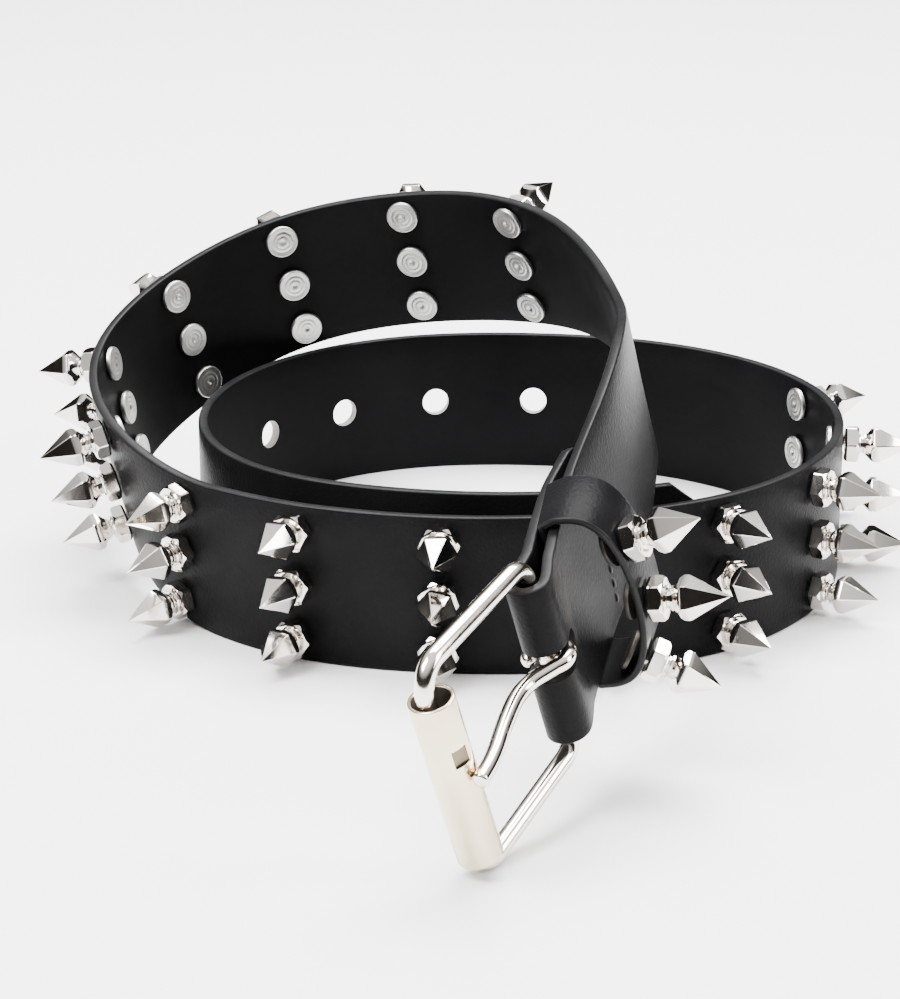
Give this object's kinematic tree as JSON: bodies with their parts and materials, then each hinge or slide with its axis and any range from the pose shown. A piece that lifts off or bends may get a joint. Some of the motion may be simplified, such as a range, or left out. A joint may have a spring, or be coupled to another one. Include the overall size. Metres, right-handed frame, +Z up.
{
  "type": "studded leather belt",
  "caption": "Coiled leather belt with rows of screwed-in cone studs, a wire roller buckle, a keeper loop and punched holes.",
  "frame": {"origin": "under the middle of the belt's bounding box, on the surface it lies on", "axes": "+Z up, -Y towards the side with the buckle, +X to the right seen from the buckle's side"},
  "size_m": [0.231, 0.2798, 0.091],
  "materials": {
    "black_leather": "semi-gloss, finely grained",
    "nickel_studs": "bright nickel plate",
    "nickel_buckle": "bright warm nickel plate"
  },
  "bodies": {
    "belt": {"keeper": "black_leather", "keeper_stud_1": "nickel_studs", "keeper_stud_2": "nickel_studs", "keeper_stud_3": "nickel_studs", "strap": "black_leather", "stud_01_1": "nickel_studs", "stud_01_2": "nickel_studs", "stud_01_3": "nickel_studs", "stud_02_1": "nickel_studs", "stud_02_2": "nickel_studs", "stud_02_3": "nickel_studs", "stud_03_1": "nickel_studs", "stud_03_2": "nickel_studs", "stud_03_3": "nickel_studs", "stud_04_1": "nickel_studs", "stud_04_2": "nickel_studs", "stud_04_3": "nickel_studs", "stud_05_1": "nickel_studs", "stud_05_2": "nickel_studs", "stud_05_3": "nickel_studs", "stud_06_1": "nickel_studs", "stud_06_2": "nickel_studs", "stud_06_3": "nickel_studs", "stud_07_1": "nickel_studs", "stud_07_2": "nickel_studs", "stud_07_3": "nickel_studs", "stud_08_1": "nickel_studs", "stud_08_2": "nickel_studs", "stud_08_3": "nickel_studs", "stud_09_1": "nickel_studs", "stud_09_2": "nickel_studs", "stud_09_3": "nickel_studs", "stud_10_1": "nickel_studs", "stud_10_2": "nickel_studs", "stud_10_3": "nickel_studs", "stud_11_1": "nickel_studs", "stud_11_2": "nickel_studs", "stud_11_3": "nickel_studs", "stud_12_1": "nickel_studs", "stud_12_2": "nickel_studs", "stud_12_3": "nickel_studs", "stud_13_1": "nickel_studs", "stud_13_2": "nickel_studs", "stud_13_3": "nickel_studs", "stud_14_1": "nickel_studs", "stud_14_2": "nickel_studs", "stud_14_3": "nickel_studs"},
    "buckle_frame": {"buckle_frame": "nickel_buckle"},
    "prong": {"prong": "nickel_buckle"},
    "roller": {"roller": "nickel_buckle"}
  },
  "joints": [
    {"name": "frame_swing", "type": "hinge", "parent": "belt", "child": "buckle_frame", "pos_m": [0.01515, -0.10038, 0.0375], "axis": [-0.2443, -0.2182, 0.9448], "range_deg": [-70, 45]},
    {"name": "prong_swing", "type": "hinge", "parent": "buckle_frame", "child": "prong", "pos_m": [0.01515, -0.10038, 0.0375], "axis": [-0.2443, -0.2182, 0.9448], "range_deg": [0, 70]},
    {"name": "roller_spin", "type": "hinge", "parent": "buckle_frame", "child": "roller", "pos_m": [-0.00432, -0.13067, 0.02378], "axis": [-0.2443, -0.2182, 0.9448], "continuous": true}
  ]
}
